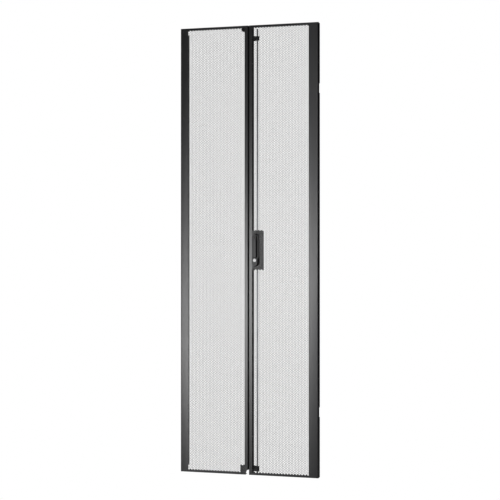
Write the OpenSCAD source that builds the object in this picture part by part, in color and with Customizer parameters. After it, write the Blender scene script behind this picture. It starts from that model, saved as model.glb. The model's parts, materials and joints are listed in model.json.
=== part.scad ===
// Split perforated door for a 600 mm wide floor-standing server rack.
// Two folded sheet-steel leaves hang on their outer edges and meet on a centre gap.
// The right leaf has a swing handle that drives two latch rods through a rack and pinion.
// Front of the door faces -Y, +Z is up, the origin is the bottom centre of the whole door.

/* [Door] */
// Width over both leaves
door_w = 597.6; // [560:0.2:640]
// Height of the leaves
door_h = 1885; // [1600:5:2100]
// Depth of the side flanges
leaf_depth = 32; // [28:1:40]
// Sheet thickness
sheet_t = 1.2; // [0.8:0.1:1.6]
// Gap between the two leaves
centre_gap = 4.2; // [3:0.2:8]
// Outside radius of the inner folds
bend_r = 2; // [1.5:0.1:3]
// Outside radius of the outer front folds
outer_bend_r = 4; // [2:0.5:5]
// Depth of the top and bottom flanges
rail_depth = 28; // [20:1:30]

/* [Perforation] */
// Columns of hexagonal holes on each leaf
hole_columns = 6; // [4:1:8]
// Rows of holes in each column
hole_rows = 40; // [20:1:52]
// Steel left between neighbouring holes
hole_web = 5; // [3:0.1:8]
// Outer stile of the left leaf
left_outer_stile = 33.8; // [33:0.1:45]
// Inner stile of the left leaf
left_inner_stile = 13.3; // [8:0.1:20]
// Outer stile of the right leaf
right_outer_stile = 39.3; // [36:0.1:45]
// Inner stile of the right leaf
right_inner_stile = 14; // [10:0.1:20]
// Plain margin above and below the holes
rail_margin = 9.2; // [8:0.2:20]

/* [Hinges] */
// Height of the hinge centres from the leaf's ends
hinge_inset = 270; // [200:5:400]
// Height of the notch in the outer flange
notch_h = 40; // [38:1:60]
// Depth of the notch
notch_d = 12; // [12:0.5:14]
// Diameter of the hinge pins
pin_d = 6; // [5:0.5:7]
// Radial clearance of the running fits
running_gap = 0.04; // [0.02:0.01:0.08]

/* [Handle] */
// Height of the handle base
base_h = 138; // [130:1:150]
// Width of the handle base
base_w = 30; // [28:1:34]
// Width of the lever
lever_w = 16; // [14:0.5:17]
// Distance from the base's centre up to the swing axis
hub_up = 51; // [48:1:54]
// Distance from the base's centre down to the key cylinder
lock_down = 42.5; // [42:0.5:44]
// Diameter of the key cylinder's collar
lock_d = 14; // [13:0.5:16]

/* [Latch rods] */
// Diameter of the latch rods
rod_d = 6; // [5:0.5:6]
// Depth of the rod axis behind the front sheet
rod_y = 19; // [18:0.5:20]
// Distance of the upper rod's tip below the top edge
upper_rod_inset = 13; // [10:1:40]
// Distance of the lower rod's tip above the bottom edge
lower_rod_inset = 7; // [5:1:20]
// Module of the rack and pinion
gear_module = 1; // [1:0.1:1]
// Teeth on the pinion
pinion_teeth = 16; // [16:1:16]

/* [Hidden] */
$fn = 48;
eps = 0.01;
steel_black = "#2b2c2e";
zinc = "#a9acae";
black_plastic = "#1b1c1e";
chrome = "#d8dadc";

// depths, measured back from the front face of the leaves
lever_front = -20;
bracket_back = 43;
front_y = -(lever_front + bracket_back) / 2;

leaf_w = (door_w - centre_gap) / 2;
inner_x = centre_gap / 2;
outer_x = door_w / 2;
mid_z = door_h / 2;
hinge_lower_z = hinge_inset;
hinge_upper_z = door_h - hinge_inset;
field_h = door_h - 2 * rail_margin;
row_pitch = (field_h + hole_web) / (hole_rows + 0.5);
hole_flats = row_pitch - hole_web;
hole_points = hole_flats * 2 / sqrt(3);

// hinge axis and the pieces round it
axis_x = outer_x - 10;
axis_y = leaf_depth - 3;
ear_r = 5.5;
ear_t = 4;
knuckle_h = 27;
ear_gap = 0.5;
bracket_plate_t = 3;
bracket_h = knuckle_h + 2 * (ear_gap + ear_t);
bracket_w = 20;
frame_hole_d = 5.5;
frame_hole_spacing = 20;
frame_hole_x = axis_x - 9;
channel_t = 1.5;
channel_x = axis_x - 21.6;
channel_back = leaf_depth - notch_d;
foot_t = 2.5;
seal_foot = 63;
rivet_x = axis_x - 11;
rivet_z = 22;
rivet_r = 1.6;
lip_rivet_x = inner_x + 7.6;
lip_rivet_z = 786;

// handle and lock
handle_x = 31;
hub_z = mid_z + hub_up;
lock_z = mid_z - lock_down;
base_floor = 6;
base_top = 17.5;
head_r = 8.5;
head_front = 17.5;
neck_r = 6;
tilt_y = -13.5;
tilt_z = hub_z - 1;
lever_back = 8.5;
lever_top = hub_z - 9.2;
lever_reach = hub_up + 34;
tongue_w = 5.6;
tongue_r = 3.7;
slot_w = 6.2;
tilt_pin_r = 1.5;
square_w = 8;

// rack and pinion
pitch_r = gear_module * pinion_teeth / 2;
tip_r = pitch_r + 0.9 * gear_module;
root_r = pitch_r - 1.25 * gear_module;
rack_pitch = PI * gear_module;
travel = pitch_r * PI / 2;
pinion_y = 16;
pinion_t = 6;
rack_t = 5;
rack_bar = 7;
rack_low = 8;
rack_foot = tip_r + travel + 1.5;
foot_h = 5;
rod_x = handle_x + 4;

// gearbox casing
box_half_h = rack_foot + foot_h + 3;
box_wall = 2;
box_x0 = handle_x - pitch_r - rack_bar - 0.3 - box_wall;
box_x1 = handle_x + pitch_r + rack_bar + 0.3 + box_wall;
box_back = 24;
cover_t = 2;

// rod guides, from the inner flange out past the rods
guide_x0 = inner_x + bend_r;
guide_front = 12;
top_guide_z = door_h - 52.8;
bottom_guide_z = 24.4;

// slide bolts of the left leaf
bolt_x = -26.5;
bolt_y = 19;
bolt_w = 7;
bolt_t = 4;
bolt_travel = 9;
bolt_guide_w = 13;

/* ---------- shared shapes ---------- */

// everything is drawn from the front face of the leaves back, then set into the frame
module place() translate([0, front_y, 0]) children();

module upright(z0, z1) translate([0, 0, z0]) linear_extrude(z1 - z0) children();

// a cylinder along Y
module rod_along_y(r, y0, y1, x, z, fn = $fn)
    translate([x, y1, z]) rotate([90, 0, 0]) cylinder(r = r, h = y1 - y0, $fn = fn);

// a cone along Y: radius r0 at y0 and r1 at y1
module cone_along_y(r0, r1, y0, y1, x, z)
    translate([x, y1, z]) rotate([90, 0, 0]) cylinder(r1 = r1, r2 = r0, h = y1 - y0);

// an outline drawn in X and Z, extruded from y0 to y1
module plate_xz(y0, y1) translate([0, y1, 0]) rotate([90, 0, 0]) linear_extrude(y1 - y0) children();

function arc(cx, cy, r, a0, a1, n = 4) =
    [for (i = [0:n]) let (a = a0 + (a1 - a0) * i / n) [cx + r * cos(a), cy + r * sin(a)]];

/* ---------- leaves ---------- */

// outline of a leaf in plan, moved in by d, with its inner edge at x = 0 and its back at depth
function leaf_outline(d, depth) = concat(
    arc(leaf_w - outer_bend_r, outer_bend_r, outer_bend_r - d, -90, 0, 6),
    arc(leaf_w - bend_r, depth - bend_r, bend_r - d, 0, 90),
    arc(bend_r, depth - bend_r, bend_r - d, 90, 180),
    arc(bend_r, bend_r, bend_r - d, 180, 270));

// plan section of a leaf: front, two flanges, one rear lip
module leaf_section(lip)
    difference() {
        polygon(leaf_outline(0, leaf_depth));
        polygon(leaf_outline(sheet_t, leaf_depth));
        translate([lip, leaf_depth - 2 * sheet_t]) square([leaf_w - lip - sheet_t, 3 * sheet_t]);
        translate([leaf_w - bend_r, leaf_depth - bend_r]) square([bend_r - sheet_t, 3 * sheet_t]);
    }

// the folded sheet before it is pierced
module leaf_blank(lip) {
    upright(0, door_h) leaf_section(lip);
    for (z = [0, door_h - sheet_t])
        upright(z, z + sheet_t) intersection() {
            polygon(leaf_outline(sheet_t / 2, leaf_depth));
            square([leaf_w, rail_depth]);
        }
}

// one hexagonal hole, flat at top and bottom
module hex_hole(x, z)
    translate([x, 4 * sheet_t, z]) rotate([90, 0, 0])
        cylinder(d = hole_points, h = 8 * sheet_t, $fn = 6);

// honeycomb of holes between the stiles, without those inside the plain patch
// patch = [left, right, low, high] in the leaf's own x and z
module hole_field(x0, x1, patch) {
    column_pitch = (x1 - x0 - hole_points) / (hole_columns - 1);
    for (column = [0:hole_columns - 1], row = [0:hole_rows - 1]) {
        x = x0 + hole_points / 2 + column * column_pitch;
        z = rail_margin + hole_flats / 2 + row * row_pitch + (column % 2) * row_pitch / 2;
        bare = x > patch[0] && x < patch[1] && z > patch[2] && z < patch[3];
        if (!bare)
            hex_hole(x, z);
    }
}

module hinge_notches()
    for (z = [hinge_lower_z, hinge_upper_z])
        translate([leaf_w - 2 * sheet_t, leaf_depth - notch_d, z - notch_h / 2])
            cube([4 * sheet_t, notch_d + 1, notch_h]);

// the left leaf is drawn as a right-hand one and mirrored
module left_panel() color(steel_black) place()
    mirror([1, 0, 0]) translate([inner_x, 0, 0])
        difference() {
            leaf_blank(left_inner_stile);
            hole_field(left_inner_stile, leaf_w - left_outer_stile, [0, 30, 0, 41]);
            hinge_notches();
            corner_notch();
            bolt_slots();
        }

// slanted notch in the bottom inner corner
module corner_notch()
    plate_xz(-1, leaf_depth + 1) polygon([[-1, -1], [11.4, -1], [11, 0], [4, 20], [-1, 20]]);

// rubber strip on the left leaf's inner flange, which darkens the gap between the leaves
module left_seal() color(black_plastic) place()
    translate([-inner_x, bend_r + 0.5, seal_foot]) cube([1.2, 23, door_h - seal_foot - 4]);

// slots in the top and bottom flanges for the slide bolts
module bolt_slots()
    for (z = [-1, door_h - 2 * sheet_t])
        translate([-bolt_x - inner_x - bolt_w / 2 - 0.4, bolt_y - bolt_t / 2 - 0.4, z])
            cube([bolt_w + 0.8, bolt_t + 0.8, 3 * sheet_t]);

module right_panel() color(steel_black) place()
    translate([inner_x, 0, 0])
        difference() {
            leaf_blank(right_inner_stile);
            hole_field(right_inner_stile, leaf_w - right_outer_stile,
                [0, 66, mid_z - 90, mid_z + 90]);
            hinge_notches();
            rod_along_y(neck_r + 1, -1, 4, handle_x - inner_x, hub_z);
            rod_along_y(lock_d / 2 + 0.1, -1, 4, handle_x - inner_x, lock_z);
            for (z = [-1, 1])
                rod_along_y(rivet_r, leaf_depth - 3, leaf_depth + 1, lip_rivet_x - inner_x,
                    mid_z + z * lip_rivet_z);
        }

// Z-shaped strip that closes the outer stile into a box and carries the knuckles
module hinge_channel()
    difference() {
        upright(30, door_h - 30) polygon([
            [channel_x - 6.5, sheet_t],
            [channel_x + channel_t, sheet_t],
            [channel_x + channel_t, channel_back - channel_t],
            [outer_x - sheet_t - channel_t, channel_back - channel_t],
            [outer_x - sheet_t - channel_t, channel_back - 9],
            [outer_x - sheet_t, channel_back - 9],
            [outer_x - sheet_t, channel_back],
            [channel_x, channel_back],
            [channel_x, sheet_t + channel_t],
            [channel_x - 6.5, sheet_t + channel_t]]);
        for (hinge = [hinge_lower_z, hinge_upper_z], z = [-rivet_z, rivet_z])
            rod_along_y(rivet_r, channel_back - 4, channel_back + 4, rivet_x, hinge + z);
        rod_along_y(3.1, channel_back - 4, channel_back + 4, rivet_x, 120);
    }
module left_hinge_channel() color(steel_black) place() mirror([1, 0, 0]) hinge_channel();
module right_hinge_channel() color(steel_black) place() hinge_channel();

// leaf side of a hinge: a riveted foot and the barrel that turns on the pin
module knuckle(z)
    difference() {
        union() {
            translate([channel_x + 1, channel_back, z - 30]) cube([13, foot_t, 60]);
            translate([axis_x - 8, channel_back, z - knuckle_h / 2])
                cube([12, axis_y - channel_back, knuckle_h]);
            translate([axis_x, axis_y, z - knuckle_h / 2])
                cylinder(r = 6, h = knuckle_h);
        }
        translate([axis_x, axis_y, z - knuckle_h])
            cylinder(r = pin_d / 2 + running_gap, h = 2 * knuckle_h);
        for (side = [-rivet_z, rivet_z])
            rod_along_y(rivet_r, channel_back - 1, channel_back + 4, rivet_x, z + side);
    }
module left_knuckle_upper() color(zinc) place() mirror([1, 0, 0]) knuckle(hinge_upper_z);
module left_knuckle_lower() color(zinc) place() mirror([1, 0, 0]) knuckle(hinge_lower_z);
module right_knuckle_upper() color(zinc) place() knuckle(hinge_upper_z);
module right_knuckle_lower() color(zinc) place() knuckle(hinge_lower_z);

// blind rivet along Y: head on the rear face at y, shank towards the front
module rivet(x, y, z, grip) {
    rod_along_y(rivet_r, y - grip, y, x, z);
    cone_along_y(3.4, 2.2, y, y + 1.3, x, z);
}
module knuckle_rivets()
    for (hinge = [hinge_lower_z, hinge_upper_z], z = [-rivet_z, rivet_z])
        rivet(rivet_x, channel_back + foot_t, hinge + z, foot_t + channel_t + 1);
module left_rivets() color(zinc) place() mirror([1, 0, 0]) knuckle_rivets();
module right_rivets() color(zinc) place() {
    knuckle_rivets();
    for (side = [-1, 1])
        lip_rivet(lip_rivet_x, mid_z + side * lip_rivet_z);
}
// rivet in the inner lip, its head towards the front
module lip_rivet(x, z) {
    rod_along_y(rivet_r, leaf_depth - sheet_t, leaf_depth + 0.8, x, z);
    cone_along_y(1.8, 3, leaf_depth - sheet_t - 1.2, leaf_depth - sheet_t, x, z);
}

// threaded stud, washer and nut for the earth lead
module earth_stud() {
    rod_along_y(3, channel_back - 3, channel_back + 9, rivet_x, 120);
    rod_along_y(6, channel_back, channel_back + 1.2, rivet_x, 120);
    rod_along_y(5.6, channel_back + 1.2, channel_back + 6, rivet_x, 120, 6);
}
module left_earth_stud() color(zinc) place() mirror([1, 0, 0]) earth_stud();
module right_earth_stud() color(zinc) place() earth_stud();

/* ---------- frame side of the hinges ---------- */

// plate that bolts to the rack, with two ears that hold the pin
module hinge_bracket(z)
    difference() {
        union() {
            translate([axis_x + ear_r - bracket_w, bracket_back - bracket_plate_t,
                z - bracket_h / 2])
                cube([bracket_w, bracket_plate_t, bracket_h]);
            for (side = [-1, 1])
                translate([0, 0, z + side * (knuckle_h / 2 + ear_gap + ear_t / 2) - ear_t / 2]) {
                    translate([axis_x, axis_y, 0]) cylinder(r = ear_r, h = ear_t);
                    translate([axis_x - ear_r, axis_y, 0])
                        cube([2 * ear_r, bracket_back - bracket_plate_t - axis_y + eps, ear_t]);
                }
        }
        translate([axis_x, axis_y, z - bracket_h]) cylinder(d = pin_d, h = 2 * bracket_h);
        for (side = [-1, 1])
            rod_along_y(frame_hole_d / 2, bracket_back - 6, bracket_back + 3, frame_hole_x,
                z + side * frame_hole_spacing / 2);
    }
module hinge_bracket_upper_left() color(zinc) place() mirror([1, 0, 0]) hinge_bracket(hinge_upper_z);
module hinge_bracket_lower_left() color(zinc) place() mirror([1, 0, 0]) hinge_bracket(hinge_lower_z);
module hinge_bracket_upper_right() color(zinc) place() hinge_bracket(hinge_upper_z);
module hinge_bracket_lower_right() color(zinc) place() hinge_bracket(hinge_lower_z);

// hinge pin with a flat head that rests on the upper ear
module hinge_pin(z) translate([axis_x, axis_y, z]) {
    translate([0, 0, -bracket_h / 2 - 1]) cylinder(d = pin_d, h = bracket_h + 1);
    translate([0, 0, -bracket_h / 2 - 2]) cylinder(d1 = pin_d - 1.6, d2 = pin_d, h = 1);
    translate([0, 0, bracket_h / 2]) cylinder(d = pin_d + 3, h = 1.6);
}
module hinge_pin_upper_left() color(zinc) place() mirror([1, 0, 0]) hinge_pin(hinge_upper_z);
module hinge_pin_lower_left() color(zinc) place() mirror([1, 0, 0]) hinge_pin(hinge_lower_z);
module hinge_pin_upper_right() color(zinc) place() hinge_pin(hinge_upper_z);
module hinge_pin_lower_right() color(zinc) place() hinge_pin(hinge_lower_z);

/* ---------- slide bolts of the left leaf ---------- */

// moulded guide under the top flange; length runs down from z = 0
module bolt_guide(length) {
    tab_w = 3.6;
    difference() {
        union() {
            translate([-bolt_guide_w / 2, 8, -length + 6]) cube([bolt_guide_w, 18, length - 6]);
            translate([0, 8, -length + bolt_guide_w / 2]) rotate([-90, 0, 0])
                cylinder(d = bolt_guide_w, h = 18);
        }
        translate([-bolt_w / 2 - 0.3, bolt_y - bolt_t / 2 - 0.3, -length + 3])
            cube([bolt_w + 0.6, bolt_t + 0.6, length]);
        translate([-tab_w / 2, bolt_y, -length + 3.6]) cube([tab_w, 12, bolt_travel + 4.8]);
    }
}
// flat bolt with a thumb tab; its tip lies just below z = 0
module slide_bolt(length)
    translate([0, bolt_y, 0]) {
        translate([-bolt_w / 2, -bolt_t / 2, -length + 4]) cube([bolt_w, bolt_t, length - 3.8]);
        translate([-1.5, bolt_t / 2 - 0.5, -length + 4]) cube([3, 9.5, 4]);
        translate([-5, bolt_t / 2 + 8, -length + 3]) cube([10, 2, 6]);
    }
top_guide_len = 21;
bottom_guide_len = 36;
module top_bolt_guide() color(black_plastic) place()
    translate([bolt_x, 0, door_h - sheet_t]) bolt_guide(top_guide_len);
module bottom_bolt_guide() color(black_plastic) place()
    translate([bolt_x, 0, sheet_t]) mirror([0, 0, 1]) bolt_guide(bottom_guide_len);
module top_bolt() color(zinc) place()
    translate([bolt_x, 0, door_h - sheet_t]) slide_bolt(top_guide_len);
module bottom_bolt() color(zinc) place()
    translate([bolt_x, 0, sheet_t]) mirror([0, 0, 1]) slide_bolt(bottom_guide_len);

/* ---------- latch rods and their drive ---------- */

// guide arm from the inner flange to the rod, with a nib on its free end
module rod_guide(z, height, reach, nib_low, nib_high)
    difference() {
        union() {
            translate([guide_x0, guide_front, z - height / 2])
                cube([rod_x - guide_x0, leaf_depth - sheet_t - guide_front, height]);
            translate([rod_x, rod_y, z - height / 2]) cylinder(r = reach - rod_x, h = height);
            plate_xz(rod_y - 2, rod_y + 2)
                polygon([[rod_x, z + nib_low], [reach - 1, z + nib_low], [reach + 3, z + nib_high],
                    [rod_x, z + nib_high]]);
            translate([rod_x - 7, guide_front, z - height / 2])
                cube([7, leaf_depth - sheet_t - guide_front - 5, height]);
        }
        translate([rod_x, rod_y, z - height]) cylinder(r = rod_d / 2 + running_gap, h = 2 * height);
        // open back corner beside the rod
        translate([rod_x - 9, leaf_depth - 7, z - height]) cube([20, 10, 2 * height]);
    }
module top_rod_guide() color(black_plastic) place() rod_guide(top_guide_z, 17, 42, 2, 8.5);
module bottom_rod_guide() color(black_plastic) place() rod_guide(bottom_guide_z, 21, 41.5, 5, 10.5);

// rack bar with teeth towards +X, pitch line at x = 0, drawn upwards from z = -rack_low
function rack_tooth(z) = let (half = rack_pitch / 4 - 0.05, slope = tan(20)) [
    [-1.2 * gear_module, z - half - 1.2 * slope],
    [0.9 * gear_module, z - half + 0.9 * slope],
    [0.9 * gear_module, z + half - 0.9 * slope],
    [-1.2 * gear_module, z + half + 1.2 * slope]];
rack_teeth = 8;
module rack_bar_2d()
    polygon(concat(
        [[-1.2 * gear_module, -rack_low]],
        [for (i = [0:rack_teeth - 1]) each rack_tooth((i - 1.5) * rack_pitch)],
        [[-1.2 * gear_module, rack_foot + foot_h], [-rack_bar, rack_foot + foot_h],
            [-rack_bar, -rack_low]]));

// one rod with its cranked foot and rack; toe is where the rod stands, from the pitch line
module rod_drive(toe, rod_length) {
    translate([0, rod_y, 0]) {
        plate_xz(-rack_t / 2, rack_t / 2) rack_bar_2d();
        translate([-rack_bar, -rack_t / 2, rack_foot]) cube([rack_bar + toe + 3, rack_t, foot_h]);
        translate([toe, 0, rack_foot + foot_h / 2]) cylinder(d = rod_d, h = rod_length - 1.5);
        translate([toe, 0, rack_foot + foot_h / 2 + rod_length - 1.5])
            cylinder(d1 = rod_d, d2 = rod_d - 2, h = 1.5);
    }
}
upper_rod_len = door_h - upper_rod_inset - hub_z - rack_foot - foot_h / 2;
lower_rod_len = hub_z - lower_rod_inset - rack_foot - foot_h / 2;
module upper_rod() color(zinc) place()
    translate([handle_x - pitch_r, 0, hub_z])
        rod_drive(rod_x - handle_x + pitch_r, upper_rod_len);
module lower_rod() color(zinc) place()
    translate([handle_x + pitch_r, 0, hub_z]) rotate([0, 180, 0])
        rod_drive(handle_x + pitch_r - rod_x, lower_rod_len);

// involute pinion: half a tooth's angle at radius r
function involute(a) = tan(a) * 180 / PI - a;
base_r = pitch_r * cos(20);
function half_tooth(r) = 90 / pinion_teeth + involute(20) - 0.05 / pitch_r * 180 / PI
    - (r > base_r ? involute(acos(base_r / r)) : 0);
tooth_radii = [root_r, base_r, (base_r + tip_r) / 2, tip_r];
function tooth(angle) = concat(
    [for (i = [0:3]) let (r = tooth_radii[i], a = angle - half_tooth(r)) [r * cos(a), r * sin(a)]],
    [for (i = [3:-1:0]) let (r = tooth_radii[i], a = angle + half_tooth(r)) [r * cos(a), r * sin(a)]]);
module drive_pinion() color(zinc) place()
    translate([handle_x, 0, hub_z])
        plate_xz(pinion_y, pinion_y + pinion_t)
            difference() {
                polygon([for (i = [0:pinion_teeth - 1]) each tooth(i * 360 / pinion_teeth)]);
                square(square_w + 0.05, center = true);
            }

// casing behind the handle, open to the rear
module gearbox_body() color(zinc) place()
    difference() {
        union() {
            difference() {
                translate([box_x0, sheet_t, hub_z - box_half_h])
                    cube([box_x1 - box_x0, box_back - sheet_t, 2 * box_half_h]);
                translate([box_x0 + box_wall, sheet_t + box_wall, hub_z - box_half_h + box_wall])
                    cube([box_x1 - box_x0 - 2 * box_wall, box_back, 2 * (box_half_h - box_wall)]);
            }
            rod_along_y(neck_r + 2.5, sheet_t, pinion_y - 0.5, handle_x, hub_z);
            for (x = [box_x0 - 5, box_x1 - 3], z = [-22, 22])
                translate([x, sheet_t, hub_z + z - 4]) cube([8, box_back - sheet_t, 8]);
        }
        rod_along_y(neck_r + running_gap, 0, box_back, handle_x, hub_z);
        for (z = [-2 * box_half_h, 0])
            translate([rod_x, rod_y, hub_z + z]) cylinder(d = rod_d + 0.3, h = 2 * box_half_h);
        translate([box_x0 + box_wall, box_back - 16, hub_z - box_half_h + box_wall])
            cube([box_x1 - box_x0 - 2 * box_wall, 17, 2 * (box_half_h - box_wall)]);
        for (x = [box_x0 - 2, box_x1 + 2], z = [-22, 22])
            rod_along_y(1.25, box_back - 10, box_back + 1, x, hub_z + z);
    }

module gearbox_cover() color(zinc) place()
    difference() {
        union() {
            plate_xz(box_back, box_back + cover_t) difference() {
                translate([box_x0, hub_z - box_half_h]) square([box_x1 - box_x0, 2 * box_half_h]);
            }
            for (x = [box_x0 - 5, box_x1 - 3], z = [-22, 22])
                translate([x, box_back, hub_z + z - 4]) cube([8, cover_t, 8]);
        }
        rod_along_y(5, box_back - 1, box_back + 4, handle_x, hub_z);
        for (x = [box_x0 - 2, box_x1 + 2], z = [-22, 22])
            rod_along_y(1.6, box_back - 1, box_back + 4, x, hub_z + z);
    }
module cover_screws() color(zinc) place()
    for (x = [box_x0 - 2, box_x1 + 2], z = [-22, 22]) {
        rod_along_y(1.25, box_back - 8, box_back + cover_t, x, hub_z + z);
        cone_along_y(2.7, 2.1, box_back + cover_t, box_back + cover_t + 1.8, x, hub_z + z);
    }

/* ---------- swing handle ---------- */

// pill outline whose edge leans in from half-width r0 at y0 to r1 at y1
module pill(r0, r1, y0, y1) {
    reach = (base_h - base_w) / 2;
    for (side = [-1, 1])
        cone_along_y(r1, r0, y1, y0, handle_x, mid_z + side * reach);
    translate([handle_x, 0, mid_z - reach]) linear_extrude(2 * reach)
        polygon([[-r0, y0], [r0, y0], [r1, y1], [-r1, y1]]);
}

// dish with a raised nose above the swing axis and another round the key cylinder
module handle_base() color(black_plastic) place()
    difference() {
        union() {
            pill(base_w / 2, base_w / 2 - 0.6, 0, -4);
            pill(base_w / 2 - 0.6, base_w / 2 - 3.5, -4, -base_top);
        }
        // room for the lever to hang and to swing across
        intersection() {
            rod_along_y(lever_reach + 1, -base_top - 1, -base_floor, handle_x, hub_z, 180);
            translate([handle_x - base_w, -base_top - 2, mid_z - base_h])
                cube([2 * base_w, base_top, hub_z + 9.3 - mid_z + base_h]);
        }
        rod_along_y(neck_r + running_gap, -base_top, 1, handle_x, hub_z);
        rod_along_y(lock_d / 2, -base_top - 1, 1, handle_x, lock_z);
    }

// collar pressed into the lower nose, with the plug's bore
module lock_collar() color(chrome) place()
    difference() {
        union() {
            rod_along_y(lock_d / 2, -base_top, 8, handle_x, lock_z);
            cone_along_y(lock_d / 2 - 0.8, lock_d / 2, -base_top - 0.8, -base_top, handle_x, lock_z);
        }
        rod_along_y(5.5 + running_gap, -base_top - 2, 9, handle_x, lock_z);
    }
module lock_nut() color(zinc) place()
    difference() {
        rod_along_y(11, sheet_t, sheet_t + 4, handle_x, lock_z, 6);
        rod_along_y(lock_d / 2, 0, 9, handle_x, lock_z);
    }
// plug with its keyway
module lock_plug() color(chrome) place()
    difference() {
        union() {
            rod_along_y(5.5, -base_top - 0.5, 8.3, handle_x, lock_z);
            rod_along_y(3, 8.3, 12, handle_x, lock_z);
        }
        translate([handle_x - 0.7, -base_top - 1, lock_z - 3.6]) cube([1.4, 8, 7.2]);
    }
module lock_cam() color(zinc) place()
    difference() {
        plate_xz(8.3, 10.3) {
            translate([handle_x, lock_z]) circle(r = 6);
            translate([handle_x - 4, lock_z]) square([8, 16]);
        }
        rod_along_y(3, 7, 12, handle_x, lock_z);
    }

// turret that swings with the lever, with its neck and square spindle
module handle_head() color(black_plastic) place()
    difference() {
        union() {
            rod_along_y(head_r, -head_front + 1.5, -base_floor - 0.3, handle_x, hub_z);
            cone_along_y(head_r - 1.5, head_r, -head_front, -head_front + 1.5, handle_x, hub_z);
            rod_along_y(neck_r, -base_floor - 0.4, pinion_y - 0.2, handle_x, hub_z);
            translate([handle_x - square_w / 2, pinion_y - 0.3, hub_z - square_w / 2])
                cube([square_w, pinion_t + 1.1, square_w]);
        }
        // flat underside and the slot for the lever's tongue
        translate([handle_x - 10, -head_front - 1, hub_z - 20])
            cube([20, head_front - base_floor + 1, 13]);
        translate([handle_x - slot_w / 2, -head_front - 1, hub_z - 12])
            cube([slot_w, head_front + 1 - 9.5, 12 + 4]);
        translate([handle_x - 10, tilt_y, tilt_z]) rotate([0, 90, 0])
            cylinder(r = tilt_pin_r, h = 20);
        rod_along_y(2, pinion_y - 4, 30, handle_x, hub_z);
    }
// screw and washer that hold the pinion on the spindle
module spindle_screw() color(zinc) place() {
    rod_along_y(2, pinion_y - 3, pinion_y + pinion_t + 0.8, handle_x, hub_z);
    rod_along_y(4.6, pinion_y + pinion_t + 0.8, pinion_y + pinion_t + 1.4, handle_x, hub_z);
    cone_along_y(3.6, 3, pinion_y + pinion_t + 1.4, pinion_y + pinion_t + 3, handle_x, hub_z);
}
module lever_pin() color(zinc) place()
    translate([handle_x - 7, tilt_y, tilt_z]) rotate([0, 90, 0]) cylinder(r = tilt_pin_r, h = 14);

// half of the lever's section: distance from its middle, distance in front of the sheet
function lever_half(r) = [[0, lever_back], [r - 1, lever_back], [r, lever_back + 1],
    [r, -lever_front - 3], [r - 2.5, -lever_front], [0, -lever_front]];

// lever: a chamfered bar with a round end that hangs from its tongue on the tilt pin
module handle_lever() color(black_plastic) place() {
    half = lever_half(lever_w / 2);
    low = hub_z - lever_reach + lever_w / 2;
    translate([handle_x, 0, low]) linear_extrude(lever_top - low)
        polygon([for (side = [1, -1], p = side > 0 ? half : [for (i = [5:-1:0]) half[i]])
            [side * p[0], -p[1]]]);
    translate([handle_x, 0, low]) rotate([90, 0, 0]) rotate_extrude() polygon(half);
    difference() {
        union() {
            translate([handle_x - tongue_w / 2, tilt_y - tongue_r, lever_top - 3])
                cube([tongue_w, 2 * tongue_r, tilt_z - lever_top + 3]);
            translate([handle_x - tongue_w / 2, tilt_y, tilt_z]) rotate([0, 90, 0])
                cylinder(r = tongue_r, h = tongue_w);
        }
        translate([handle_x - 10, tilt_y, tilt_z]) rotate([0, 90, 0])
            cylinder(r = tilt_pin_r + running_gap, h = 20);
    }
}

hinge_bracket_upper_left();
hinge_bracket_lower_left();
hinge_bracket_upper_right();
hinge_bracket_lower_right();
hinge_pin_upper_left();
hinge_pin_lower_left();
hinge_pin_upper_right();
hinge_pin_lower_right();
left_panel();
left_hinge_channel();
left_knuckle_upper();
left_knuckle_lower();
left_rivets();
left_earth_stud();
left_seal();
top_bolt_guide();
bottom_bolt_guide();
top_bolt();
bottom_bolt();
right_panel();
right_hinge_channel();
right_knuckle_upper();
right_knuckle_lower();
right_rivets();
right_earth_stud();
top_rod_guide();
bottom_rod_guide();
handle_base();
gearbox_body();
gearbox_cover();
cover_screws();
lock_collar();
lock_nut();
lock_plug();
lock_cam();
handle_head();
drive_pinion();
spindle_screw();
handle_lever();
lever_pin();
upper_rod();
lower_rod();
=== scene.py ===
import json
import math

import bpy
import numpy as np
from mathutils import Matrix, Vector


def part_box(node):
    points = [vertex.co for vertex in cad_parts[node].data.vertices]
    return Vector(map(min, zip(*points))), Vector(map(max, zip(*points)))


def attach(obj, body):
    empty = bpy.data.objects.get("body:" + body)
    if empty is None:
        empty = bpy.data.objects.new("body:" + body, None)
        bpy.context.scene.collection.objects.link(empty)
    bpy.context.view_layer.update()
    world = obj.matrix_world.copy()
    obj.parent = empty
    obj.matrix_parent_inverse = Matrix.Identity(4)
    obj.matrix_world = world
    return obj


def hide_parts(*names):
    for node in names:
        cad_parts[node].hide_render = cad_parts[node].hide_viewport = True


# Looks of a split perforated rack door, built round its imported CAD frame. Lengths are in metres.

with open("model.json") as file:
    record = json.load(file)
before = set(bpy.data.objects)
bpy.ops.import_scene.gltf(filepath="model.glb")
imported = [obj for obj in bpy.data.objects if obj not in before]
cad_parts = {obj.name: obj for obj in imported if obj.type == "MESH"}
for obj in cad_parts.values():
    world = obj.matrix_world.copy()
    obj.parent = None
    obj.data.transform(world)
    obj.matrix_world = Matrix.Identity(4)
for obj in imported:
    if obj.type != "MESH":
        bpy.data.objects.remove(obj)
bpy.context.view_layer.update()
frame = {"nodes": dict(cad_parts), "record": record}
nodes = frame["nodes"]
print("frame loaded:", len(nodes), "nodes")

mm = 0.001


def nodeSpan(node):  # lowest and highest corner of a node's box, read from the frame
    low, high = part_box(node)
    return np.array(low), np.array(high)


leftLow, leftHigh = nodeSpan("left_panel")
rightLow, rightHigh = nodeSpan("right_panel")
sheetFront = rightLow[1]
doorHeight = rightHigh[2] - rightLow[2]
midHeight = (rightHigh[2] + rightLow[2]) / 2
leafDepth = rightHigh[1] - rightLow[1]


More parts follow.
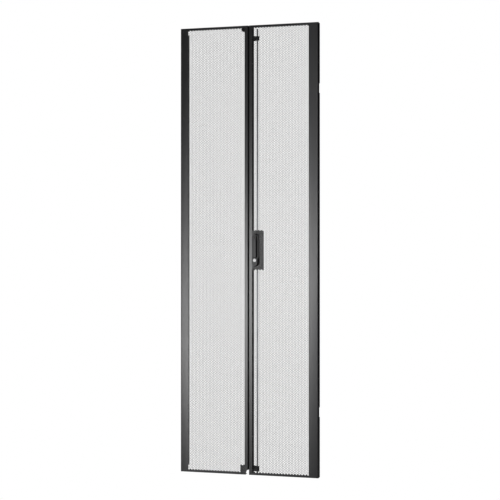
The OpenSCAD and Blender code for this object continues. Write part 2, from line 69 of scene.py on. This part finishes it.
pointsPerMetre = 1e6  # points are told apart down to a micron
sliverArea = 1e-13  # square metres; faces smaller than this are dropped


# Points that round to the same micron become one, and faces that close up are dropped.
def weld(points, faces):
    points = np.asarray(points, dtype=float).reshape(-1, 3)
    keys = np.round(points * pointsPerMetre).astype(np.int64)
    _, first, back = np.unique(keys, axis=0, return_index=True, return_inverse=True)
    back = back.reshape(-1)
    kept = []
    for face in faces:  # one array for each face size
        face = back[np.asarray(face)]
        if len(face) == 0:
            continue
        if face.shape[1] == 4:  # a quad with one side closed up is a triangle
            triangles, whole = [], np.ones(len(face), dtype=bool)
            for i in range(4):
                closed = face[:, i] == face[:, (i + 1) % 4]
                rest = np.delete(face[closed & whole], i, axis=1)
                triangles.append(rest)
                whole &= ~closed
            kept.append(face[whole])
            face = np.concatenate(triangles)
        if len(face):
            a, b, c = face[:, 0], face[:, 1], face[:, 2]
            kept.append(face[(a != b) & (b != c) & (c != a)])
    return points[first], [f for f in kept if len(f)]


# A mesh from arrays: its corners in face order, with each face's first corner and size.
def meshFromArrays(name, points, faces):
    mesh = bpy.data.meshes.new(name)
    corners = np.concatenate([f.reshape(-1) for f in faces])
    sizes = np.concatenate([np.full(len(f), f.shape[1]) for f in faces])
    mesh.vertices.add(len(points))
    mesh.vertices.foreach_set("co", np.asarray(points, dtype=np.float32).reshape(-1))
    mesh.loops.add(len(corners))
    mesh.loops.foreach_set("vertex_index", corners.astype(np.int32))
    mesh.polygons.add(len(sizes))
    starts = np.concatenate([[0], np.cumsum(sizes)[:-1]])
    mesh.polygons.foreach_set("loop_start", starts.astype(np.int32))
    mesh.update(calc_edges=True)
    mesh.validate()
    return mesh


# A welded mesh as a piece at the origin, shaded smooth where its faces turn less than the angle.
def addPiece(name, points, faces, material, smoothAngle=None):
    points, faces = weld(points, faces)
    mesh = meshFromArrays(name, points, faces)
    piece = bpy.data.objects.new(name, mesh)
    bpy.context.scene.collection.objects.link(piece)
    mesh.materials.append(material)
    if smoothAngle is not None:
        mesh.polygons.foreach_set("use_smooth", np.ones(len(mesh.polygons), dtype=bool))
        mesh.set_sharp_from_angle(angle=math.radians(smoothAngle))
    return piece


# Quads of a grid of rows and columns of points, closed or open in either direction.
def gridQuads(rows, columns, closeRows, closeColumns):
    i = np.arange(rows if closeRows else rows - 1)
    j = np.arange(columns if closeColumns else columns - 1)
    i, j = np.meshgrid(i, j, indexing="ij")
    nextI, nextJ = (i + 1) % rows, (j + 1) % columns
    quads = [i * columns + j, i * columns + nextJ, nextI * columns + nextJ, nextI * columns + j]
    return np.stack(quads, axis=-1).reshape(-1, 4)


# A shader node group with its sockets, and the nodes at its two ends.
def newGroup(name, inputs, outputs):
    group = bpy.data.node_groups.new(name, "ShaderNodeTree")
    for label, kind, value in inputs:
        socket = group.interface.new_socket(label, in_out="INPUT", socket_type=kind)
        if value is not None:
            socket.default_value = value
    for label, kind in outputs:
        group.interface.new_socket(label, in_out="OUTPUT", socket_type=kind)
    return group, group.nodes.new("NodeGroupInput"), group.nodes.new("NodeGroupOutput")


def addNode(tree, kind, **settings):
    node = tree.nodes.new(kind)
    for key, value in settings.items():
        setattr(node, key, value)
    return node


# Fine grain of a coat or a moulded skin: a small noise as height, a large one as mottle.
def makeGrainGroup():
    group, source, sink = newGroup(
        "fineGrain",
        [("Vector", "NodeSocketVector", None), ("Grain Scale", "NodeSocketFloat", 900.0),
         ("Mottle Scale", "NodeSocketFloat", 14.0)],
        [("Height", "NodeSocketFloat"), ("Mottle", "NodeSocketFloat")])
    links = group.links
    grain = addNode(group, "ShaderNodeTexNoise")
    grain.inputs["Detail"].default_value = 2.0
    mottle = addNode(group, "ShaderNodeTexNoise")
    mottle.inputs["Detail"].default_value = 3.0
    links.new(source.outputs["Vector"], grain.inputs["Vector"])
    links.new(source.outputs["Grain Scale"], grain.inputs["Scale"])
    links.new(source.outputs["Vector"], mottle.inputs["Vector"])
    links.new(source.outputs["Mottle Scale"], mottle.inputs["Scale"])
    links.new(grain.outputs["Fac"], sink.inputs["Height"])
    links.new(mottle.outputs["Fac"], sink.inputs["Mottle"])
    return group


grainGroup = makeGrainGroup()


# A material whose colour and roughness drift with the mottle, and whose skin has the grain's bump.
def grainyMaterial(name, look):
    material = bpy.data.materials.new(name)
    material.use_nodes = True
    tree = material.node_tree
    shader = tree.nodes["Principled BSDF"]
    place = addNode(tree, "ShaderNodeTexCoord")
    grain = addNode(tree, "ShaderNodeGroup")
    grain.node_tree = grainGroup
    grain.inputs["Grain Scale"].default_value = look["grainScale"]
    grain.inputs["Mottle Scale"].default_value = look["mottleScale"]
    tree.links.new(place.outputs["Object"], grain.inputs["Vector"])
    colour = addNode(tree, "ShaderNodeMix", data_type="RGBA")
    dark, light = (s for s in colour.inputs if s.type == "RGBA")
    dark.default_value = (*look["dark"], 1)
    light.default_value = (*look["light"], 1)
    mixed = next(s for s in colour.outputs if s.type == "RGBA")
    tree.links.new(grain.outputs["Mottle"], colour.inputs["Factor"])
    tree.links.new(mixed, shader.inputs["Base Color"])
    rough = addNode(tree, "ShaderNodeMapRange")
    rough.inputs["To Min"].default_value = look["roughness"][0]
    rough.inputs["To Max"].default_value = look["roughness"][1]
    tree.links.new(grain.outputs["Mottle"], rough.inputs["Value"])
    tree.links.new(rough.outputs["Result"], shader.inputs["Roughness"])
    bump = addNode(tree, "ShaderNodeBump")
    bump.inputs["Strength"].default_value = look["bump"]
    bump.inputs["Distance"].default_value = look["bumpDepth"]
    tree.links.new(grain.outputs["Height"], bump.inputs["Height"])
    tree.links.new(bump.outputs["Normal"], shader.inputs["Normal"])
    shader.inputs["Metallic"].default_value = look["metallic"]
    shader.inputs["Specular IOR Level"].default_value = look["specular"]
    return material


finishes = {
    "powderCoat": dict(dark=(0.011, 0.011, 0.012), light=(0.015, 0.015, 0.016), roughness=(0.32, 0.38),
                       grainScale=1500.0, mottleScale=6.0, bump=0.25, bumpDepth=0.3 * mm,
                       metallic=0.0, specular=0.5),
    "blackPlastic": dict(dark=(0.008, 0.008, 0.009), light=(0.012, 0.012, 0.013), roughness=(0.40, 0.48),
                         grainScale=2600.0, mottleScale=30.0, bump=0.12, bumpDepth=0.2 * mm,
                         metallic=0.0, specular=0.3),
    "zinc": dict(dark=(0.30, 0.31, 0.32), light=(0.42, 0.43, 0.44), roughness=(0.30, 0.42),
                 grainScale=700.0, mottleScale=60.0, bump=0.05, bumpDepth=0.1 * mm,
                 metallic=1.0, specular=0.5),
    "zincCasting": dict(dark=(0.22, 0.225, 0.23), light=(0.32, 0.325, 0.33), roughness=(0.45, 0.6),
                        grainScale=1200.0, mottleScale=40.0, bump=0.25, bumpDepth=0.2 * mm,
                        metallic=1.0, specular=0.5),
    "rubber": dict(dark=(0.004, 0.004, 0.004), light=(0.006, 0.006, 0.006), roughness=(0.85, 0.95),
                   grainScale=900.0, mottleScale=20.0, bump=0.1, bumpDepth=0.2 * mm,
                   metallic=0.0, specular=0.3),
    "chrome": dict(dark=(0.26, 0.26, 0.265), light=(0.31, 0.31, 0.315), roughness=(0.42, 0.5),
                   grainScale=300.0, mottleScale=90.0, bump=0.02, bumpDepth=0.1 * mm,
                   metallic=1.0, specular=0.5),
}
materials = {name: grainyMaterial(name, look) for name, look in finishes.items()}
print("materials made:", ", ".join(materials))


perforation = {
    "margin": 10.0 * mm,  # plain sheet above and below the holes
    "web": 1.0 * mm,      # steel between two holes
    "rows": 260,
    "sheet": 1.2 * mm,
    "border": 0.25 * mm,  # steel kept outside the outermost holes
}
plainPatch = {"columns": 8, "rows": 23, "lowest": 119}  # behind the handle, counted from the gap
plainCorner = {"columns": 3, "rows": 4}  # over the bottom slide bolt of the left leaf
rowPitch = (doorHeight - 2 * perforation["margin"] + perforation["web"]) / (perforation["rows"] + 0.5)
columnPitch = rowPitch * math.sqrt(3) / 2
holeRadius = (rowPitch - perforation["web"]) / math.sqrt(3)

leaves = {  # inner is the side of the centre gap, and stile the plain sheet left of the first holes
    "left": dict(body="left_leaf", x0=leftLow[0], x1=leftHigh[0], inner=1, columns=40,
                 stile=33.8 * mm, lip=13.3 * mm, lipStart=20 * mm),
    "right": dict(body="right_leaf", x0=rightLow[0], x1=rightHigh[0], inner=-1, columns=39,
                  stile=14.0 * mm, lip=14.0 * mm, lipStart=0.0),
}
for leaf in leaves.values():
    leaf["firstColumn"] = leaf["x0"] + leaf["stile"] + holeRadius


# True where a column and row of the lattice is an open hole.
def openHoles(side, column, row):
    count = leaves[side]["columns"]
    inside = (column >= 0) & (column < count) & (row >= 0) & (row < perforation["rows"])
    if side == "right":
        lowest = plainPatch["lowest"] - column % 2
        bare = (column < plainPatch["columns"]) & (row >= lowest) & (row < lowest + plainPatch["rows"])
    else:
        bare = (column >= count - plainCorner["columns"]) & (row < plainCorner["rows"])
    return inside & ~bare


# The field's edges: the outermost holes and the border of steel kept round them.
def fieldRectangle(side):
    leaf = leaves[side]
    reach = holeRadius + perforation["border"]
    x0 = leaf["firstColumn"] - reach
    x1 = leaf["firstColumn"] + (leaf["columns"] - 1) * columnPitch + reach
    z0 = perforation["margin"] - perforation["border"]
    return x0, x1, z0, doorHeight - z0


# Honeycomb sheet. Hole (i, j) has its centre at x = firstColumn + i * columnPitch and
# z = margin + flats / 2 + (j + (i mod 2) / 2) * rowPitch, and its corner k lies holeRadius away
# at 60 * k degrees. Between two holes lies a strip, between three a small triangle. Cells with
# no hole are filled, a ring of them round the field is cut off at the field's rectangle, and
# every edge that only one face of the front has gets a wall to the back.
def honeycomb(side, firstColumn, lastColumn):
    leaf = leaves[side]
    ring = 2  # rows of cells kept beyond the holes
    i, j = np.meshgrid(np.arange(firstColumn - 1, lastColumn + 2),
                       np.arange(-ring, perforation["rows"] + ring), indexing="ij")
    flats = holeRadius * math.sqrt(3)
    centreX = leaf["firstColumn"] + i * columnPitch
    centreZ = perforation["margin"] + flats / 2 + (j + (i % 2) / 2) * rowPitch
    turn = np.arange(6) * math.pi / 3
    x0, x1, z0, z1 = fieldRectangle(side)
    cornerX = np.clip(centreX[..., None] + holeRadius * np.cos(turn), x0, x1)
    cornerZ = np.clip(centreZ[..., None] + holeRadius * np.sin(turn), z0, z1)
    across, upward = i.shape
    here = np.arange(i.size * 6).reshape(across, upward, 6)

    def cell(di, dj):  # corner numbers of the neighbour di columns and dj half rows away
        column = np.clip(np.arange(across) + di, 0, across - 1)
        rise = (dj + (i[:, :1] % 2) - (i[column][:, :1] % 2)) // 2
        row = np.clip(np.arange(upward)[None, :] + rise, 0, upward - 1)
        return here[column[:, None], row]

    above, rightUp, rightDown = cell(0, 2), cell(1, 1), cell(1, -1)
    keep = np.ones(i.shape, dtype=bool)  # cells whose strips to the right belong to this mesh
    keep[-1, :] = False
    keep[:, 0] = keep[:, -1] = False
    if firstColumn > 0:  # the mesh beside this one has them
        keep[0, :] = False
    if lastColumn < leaf["columns"] - 1:
        keep[-2, :] = True
    upright = keep.copy()  # cells whose strip to the one above does
    if lastColumn == leaf["columns"] - 1:
        upright[-1, 1:-1] = True

    def faces(corners, chosen):
        return np.stack(corners, axis=-1)[chosen]

    strips = np.concatenate([
        faces([here[..., 1], above[..., 5], above[..., 4], here[..., 2]], upright),
        faces([here[..., 0], rightUp[..., 4], rightUp[..., 3], here[..., 1]], keep),
        faces([rightDown[..., 3], rightDown[..., 2], here[..., 5], here[..., 0]], keep)])
    triangles = np.concatenate([
        faces([here[..., 0], rightDown[..., 2], rightUp[..., 4]], keep),
        faces([here[..., 1], rightUp[..., 3], above[..., 5]], keep)])
    filled = ~openHoles(side, i, j) & upright
    fan = np.concatenate([faces([here[..., 0], here[..., k], here[..., k + 1]], filled)
                          for k in range(1, 5)])
    points = np.stack([cornerX.ravel(), np.full(cornerX.size, sheetFront), cornerZ.ravel()], axis=-1)
    points, kinds = weld(points, [strips, np.concatenate([triangles, fan])])
    return thicken(points, kinds, perforation["sheet"])


# A flat sheet seen from the front gets a back sheet at its thickness and walls on its free edges.
def thicken(points, faces, thickness):
    faces = [dropSlivers(points, f) for f in faces]
    starts = np.concatenate([f.reshape(-1) for f in faces])
    ends = np.concatenate([np.roll(f, -1, axis=1).reshape(-1) for f in faces])
    count = len(points)
    forward, backward = starts * count + ends, ends * count + starts
    free = ~np.isin(forward, backward)
    starts, ends = starts[free], ends[free]
    back = points + np.array([0, thickness, 0])
    walls = np.stack([ends, starts, starts + count, ends + count], axis=-1)
    return np.concatenate([points, back]), faces + [f[:, ::-1] + count for f in faces] + [walls]


# Faces whose area, taken from the cross product of their sides, is next to nothing are left out.
def dropSlivers(points, face):
    a, b, c = (points[face[:, k]] for k in range(3))
    area = np.linalg.norm(np.cross(b - a, c - a), axis=1)
    if face.shape[1] == 4:
        d = points[face[:, 3]]
        area += np.linalg.norm(np.cross(c - a, d - a), axis=1)
    return face[area > sliverArea]


# The field in two meshes side by side, so that each stays light.
def makeHoneycombs(side):
    leaf = leaves[side]
    half = leaf["columns"] // 2
    pieces = []
    for label, first, last in (("a", 0, half - 1), ("b", half, leaf["columns"] - 1)):
        points, faces = honeycomb(side, first, last)
        piece = addPiece(f"{side}_mesh_{label}", points, faces, materials["powderCoat"])
        pieces.append(piece)
        print(piece.name, sum(len(p.vertices) - 2 for p in piece.data.polygons), "triangles")
    return pieces


fold = {
    "innerRadius": 2.0 * mm,  # folds at the centre gap, the top and the bottom
    "outerRadius": 4.0 * mm,  # folds at the door's two outer edges
    "steps": 8,               # faces round a fold
    "railDepth": 28.0 * mm,   # top and bottom flanges
    "smoothAngle": 35,        # degrees
}


# The section of a fold, from the window out over the bend and down the flange, and back inside.
# Each entry is (inset from the outer edge, depth): arc points are
# (r - r sin a, r - r cos a) outside and the same about the same centre at r - t inside.
def foldSection(depth, r):
    t = perforation["sheet"]
    a = np.linspace(0, math.pi / 2, fold["steps"] + 1)
    outside = np.stack([r - r * np.sin(a), r - r * np.cos(a)], axis=1)
    inside = np.stack([r - (r - t) * np.sin(a), r - (r - t) * np.cos(a)], axis=1)[::-1]
    rail = fold["railDepth"]
    flange = [[0, rail], [0, depth], [t, depth], [t, rail]]
    return np.concatenate([[[0, 0]], outside, flange, inside, [[0, t]]])


# The pan of a leaf: the section carried round the leaf's outline, its first and last points on the
# window round the holes. Each corner turns at once, so the folds of two sides meet in a mitre.
def makePan(side):
    leaf = leaves[side]
    window = fieldRectangle(side)
    outline = (leaf["x0"], leaf["x1"], 0.0, doorHeight)
    innerSide, outerSide = ("x1", "x0") if leaf["inner"] > 0 else ("x0", "x1")
    rail = (fold["railDepth"], fold["innerRadius"])
    sides = {  # for each side the depth of its flange and the radius of its fold
        innerSide: (leafDepth - fold["innerRadius"], fold["innerRadius"]),  # the lip goes on from here
        outerSide: (leafDepth, fold["outerRadius"]), "z0": rail, "z1": rail}
    corners = (("x1", "z1"), ("z1", "x0"), ("x0", "z0"), ("z0", "x1"))
    loops = []
    for first, second in corners:
        upright = first if first in ("x0", "x1") else second
        level = second if upright == first else first
        signX, signZ = (1 if upright == "x1" else -1), (1 if level == "z1" else -1)
        cornerX, cornerZ = outline[1 if signX > 0 else 0], outline[3 if signZ > 0 else 2]
        windowX, windowZ = window[1 if signX > 0 else 0], window[3 if signZ > 0 else 2]
        sections = {name: foldSection(*sides[name]) for name in (upright, level)}
        for k in range(2):
            depth = sections[(first, second)[k]][:, 1]
            x = cornerX - signX * sections[upright][:, 0]
            z = cornerZ - signZ * sections[level][:, 0]
            x[[0, -1]], z[[0, -1]] = windowX, windowZ
            loops.append(np.stack([x, sheetFront + depth, z], axis=1))
    points = np.array(loops)
    quads = gridQuads(points.shape[0], points.shape[1], True, True)
    return addPiece(f"{side}_pan", points, [quads], materials["powderCoat"], fold["smoothAngle"])


# The lip behind the inner edge: a quarter bend and a flat, carried up the leaf. Arc points lie at
# (r - r cos a, depth - r + r sin a) outside, and the same about the same centre at r - t inside.
def makeLip(side):
    leaf = leaves[side]
    r, t = fold["innerRadius"], perforation["sheet"]
    a = np.linspace(0, math.pi / 2, fold["steps"] + 1)
    outside = np.stack([r - r * np.cos(a), leafDepth - r + r * np.sin(a)], axis=1)
    inside = np.stack([r - (r - t) * np.cos(a), leafDepth - r + (r - t) * np.sin(a)], axis=1)
    flat = [[leaf["lip"], leafDepth], [leaf["lip"], leafDepth - t]]
    section = np.concatenate([outside, flat, inside[::-1]])
    edge = leaf["x1"] if leaf["inner"] > 0 else leaf["x0"]
    count = len(section)
    x, y = edge - leaf["inner"] * section[:, 0], sheetFront + section[:, 1]
    points = np.array([np.stack([x, y, np.full(count, z)], axis=1)
                       for z in (leaf["lipStart"], doorHeight)])
    walls = gridQuads(2, count, False, True)
    k = np.arange(count // 2 - 1)
    cap = np.stack([k, k + 1, count - 2 - k, count - 1 - k], axis=1)
    caps = np.concatenate([cap, cap[:, ::-1] + count])
    if leaf["inner"] < 0:
        walls, caps = walls[:, ::-1], caps[:, ::-1]
    walls, caps = walls[:, ::-1], caps[:, ::-1]
    return addPiece(f"{side}_lip", points, [walls, caps], materials["powderCoat"], fold["smoothAngle"])


# A closed block that cuts: its outline in X and Z, carried from y0 to y1.
def cutter(name, outline, y0, y1):
    outline = np.asarray(outline, dtype=float)
    ahead = np.roll(outline, -1, axis=0)
    if (outline[:, 0] * ahead[:, 1] - outline[:, 1] * ahead[:, 0]).sum() > 0:
        outline = outline[::-1]  # always clockwise seen from the front
    count = len(outline)
    points = [np.stack([outline[:, 0], np.full(count, y), outline[:, 1]], axis=1) for y in (y0, y1)]
    walls = gridQuads(2, count, False, True)
    mesh = bpy.data.meshes.new(name)
    faces = [list(map(int, q)) for q in walls] + [list(range(count))[::-1], list(range(count, 2 * count))]
    mesh.from_pydata(np.concatenate(points).tolist(), [], faces)
    mesh.update()
    piece = bpy.data.objects.new(name, mesh)
    bpy.context.scene.collection.objects.link(piece)
    return piece


# The cutters are taken out of the piece for good, and removed.
def cutAway(piece, cutters):
    for tool in cutters:
        modifier = piece.modifiers.new("cut", "BOOLEAN")
        modifier.object = tool
        modifier.operation = "DIFFERENCE"
        modifier.solver = "EXACT"
    graph = bpy.context.evaluated_depsgraph_get()
    mesh = bpy.data.meshes.new_from_object(piece.evaluated_get(graph))
    piece.modifiers.clear()
    piece.data = mesh
    for tool in cutters:
        bpy.data.objects.remove(tool)


def rectangle(x0, x1, z0, z1):  # corners of an upright rectangle in X and Z
    return [(x0, z0), (x1, z0), (x1, z1), (x0, z1)]


notch = {"height": 40 * mm, "depth": 12 * mm, "inset": 270 * mm, "reach": 4 * mm}  # for a hinge
boltSlot = {"x": -26.5 * mm, "width": 7.8 * mm, "behind": 19 * mm, "thickness": 4.8 * mm, "reach": 4 * mm}
cornerNotch = {"height": 20 * mm, "top": 4 * mm, "bottom": 11 * mm, "slope": 0.4 * mm}


def makeLeaf(side):
    leaf = leaves[side]
    pan, lip = makePan(side), makeLip(side)
    edge = leaf["x0"] if leaf["inner"] > 0 else leaf["x1"]
    back, reach, half = sheetFront + leafDepth, notch["reach"], notch["height"] / 2
    cutters = []
    for k, z in enumerate((notch["inset"], doorHeight - notch["inset"])):
        block = rectangle(edge - reach, edge + reach, z - half, z + half)
        cutters.append(cutter(f"notch{k}", block, back - notch["depth"], back + mm))
    if side == "left":
        x, top = leaf["x1"], cornerNotch["height"]  # slanted notch in the bottom inner corner
        near, far = x - cornerNotch["top"], x - cornerNotch["bottom"]
        wedge = [(x + mm, -mm), (x + mm, top), (near, top), (far, 0), (far - cornerNotch["slope"], -mm)]
        cutters.append(cutter("wedge", wedge, sheetFront - mm, back + mm))
        x, wide, reach = boltSlot["x"], boltSlot["width"] / 2, boltSlot["reach"]
        y, thick = sheetFront + boltSlot["behind"], boltSlot["thickness"] / 2
        for k, z in enumerate((0.0, doorHeight)):  # slide bolts pass the top and bottom rails
            block = rectangle(x - wide, x + wide, z - reach, z + reach)
            cutters.append(cutter(f"bolt{k}", block, y - thick, y + thick))
    cutAway(pan, cutters)
    for piece in makeHoneycombs(side) + [pan, lip]:
        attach(piece, leaf["body"])
        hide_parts(f"{side}_panel")


for side in leaves:
    makeLeaf(side)
print("leaves made")


# The CAD nodes that stay get the finish of their slot.
slotFinish = {"powder_coat": "powderCoat", "black_plastic": "blackPlastic", "zinc": "zinc",
              "chrome": "chrome", "zinc_casting": "zincCasting", "rubber": "rubber"}
for entry in frame["record"]["subparts"]:
    node = nodes[entry["node"]]
    finish = materials[slotFinish[entry["material_slot"]]]
    if not node.material_slots:
        node.data.materials.append(finish)
    for slot in node.material_slots:
        slot.material = finish
print("finishes set")


stage = {"floorDrop": 25 * mm, "size": 14.0, "paper": (0.8, 0.8, 0.8), "paperRoughness": 0.9,
         "worldLight": 0.008}


# Paper floor: plain paper to the light, white to the camera.
def paperMaterial():
    material = bpy.data.materials.new("paper")
    material.use_nodes = True
    tree = material.node_tree
    shader = tree.nodes["Principled BSDF"]
    shader.inputs["Base Color"].default_value = (*stage["paper"], 1)
    shader.inputs["Roughness"].default_value = stage["paperRoughness"]
    white = addNode(tree, "ShaderNodeEmission")
    white.inputs["Strength"].default_value = 1.0
    seen = addNode(tree, "ShaderNodeLightPath")
    mix = addNode(tree, "ShaderNodeMixShader")
    tree.links.new(seen.outputs["Is Camera Ray"], mix.inputs["Fac"])
    tree.links.new(shader.outputs["BSDF"], mix.inputs[1])
    tree.links.new(white.outputs["Emission"], mix.inputs[2])
    tree.links.new(mix.outputs["Shader"], tree.nodes["Material Output"].inputs["Surface"])
    return material


# One flat square a little below the door, so that nothing of the door stands in it.
def makeFloor():
    half = stage["size"] / 2
    z = -stage["floorDrop"]
    points = [(-half, -half, z), (half, -half, z), (half, half, z), (-half, half, z)]
    mesh = bpy.data.meshes.new("floor")
    mesh.from_pydata(points, [], [(0, 1, 2, 3)])
    floor = bpy.data.objects.new("floor", mesh)
    bpy.context.scene.collection.objects.link(floor)
    mesh.materials.append(paperMaterial())


makeFloor()


# World: weak even light on the object, white where the camera looks.
def makeWorld():
    world = bpy.data.worlds.new("studio")
    bpy.context.scene.world = world
    world.use_nodes = True
    tree = world.node_tree
    tree.nodes.clear()
    output = addNode(tree, "ShaderNodeOutputWorld")
    soft = addNode(tree, "ShaderNodeBackground")
    soft.inputs["Color"].default_value = (1, 1, 1, 1)
    soft.inputs["Strength"].default_value = stage["worldLight"]
    white = addNode(tree, "ShaderNodeBackground")
    white.inputs["Strength"].default_value = 1.0
    white.inputs["Color"].default_value = (1, 1, 1, 1)
    seen = addNode(tree, "ShaderNodeLightPath")
    mix = addNode(tree, "ShaderNodeMixShader")
    tree.links.new(seen.outputs["Is Camera Ray"], mix.inputs["Fac"])
    tree.links.new(soft.outputs[0], mix.inputs[1])
    tree.links.new(white.outputs[0], mix.inputs[2])
    tree.links.new(mix.outputs[0], output.inputs["Surface"])


makeWorld()

cameraView = {"azimuth": 15.0, "distance": 4.90, "lens": 84.15, "sensor": 36.0, "farthest": 50.0,
              "targetX": 7.0 * mm, "rise": 0.6 * mm}
target = np.array([cameraView["targetX"], sheetFront, midHeight + cameraView["rise"]])


def makeCamera():
    camera = bpy.data.objects.new("camera", bpy.data.cameras.new("camera"))
    bpy.context.scene.collection.objects.link(camera)
    turn = math.radians(cameraView["azimuth"])
    away = cameraView["distance"] * np.array([math.sin(turn), -math.cos(turn), 0])
    camera.location = target + away
    camera.rotation_euler = (math.pi / 2, 0, turn)
    camera.data.lens = cameraView["lens"]
    camera.data.sensor_width = cameraView["sensor"]
    camera.data.clip_end = cameraView["farthest"]
    bpy.context.scene.camera = camera


makeCamera()


# A soft box facing its aim, its first side along a given direction.
def makeLamp(name, place, aim, along, sizes, power):
    lamp = bpy.data.lights.new(name, "AREA")
    lamp.shape = "RECTANGLE"
    lamp.size, lamp.size_y = sizes
    lamp.energy = power
    piece = bpy.data.objects.new(name, lamp)
    bpy.context.scene.collection.objects.link(piece)
    back = np.array(place) - np.array(aim)
    back = back / np.linalg.norm(back)
    first = np.array(along) - np.dot(along, back) * back
    first = first / np.linalg.norm(first)
    turn = Matrix([first, np.cross(back, first), back]).transposed()
    piece.matrix_world = Matrix.Translation(place) @ turn.to_4x4()


# Each lamp's place, aim, direction of its first side, two sizes and power in watts.
lamps = {
    "slantLamp": ((-0.93, -2.84, 0.46), (-0.93, 0, 0.46), (0.9, 0, 0.92), (1.85, 0.24), 64),  # slanting shine
    "rightLamp": ((0.3, -2.84, 1.35), (0.3, 0, 1.35), (0, 0, 1), (2.3, 0.6), 15),  # lifts the right leaf
    "sideLamp": ((3.2, -1.0, 1.1), (0.3, 0, 0.9), (0, 1, 0), (1.2, 1.8), 4),  # right edge
}
for name, settings in lamps.items():
    makeLamp(name, *settings)

bpy.context.scene.view_settings.view_transform = "Standard"
print("stage set")
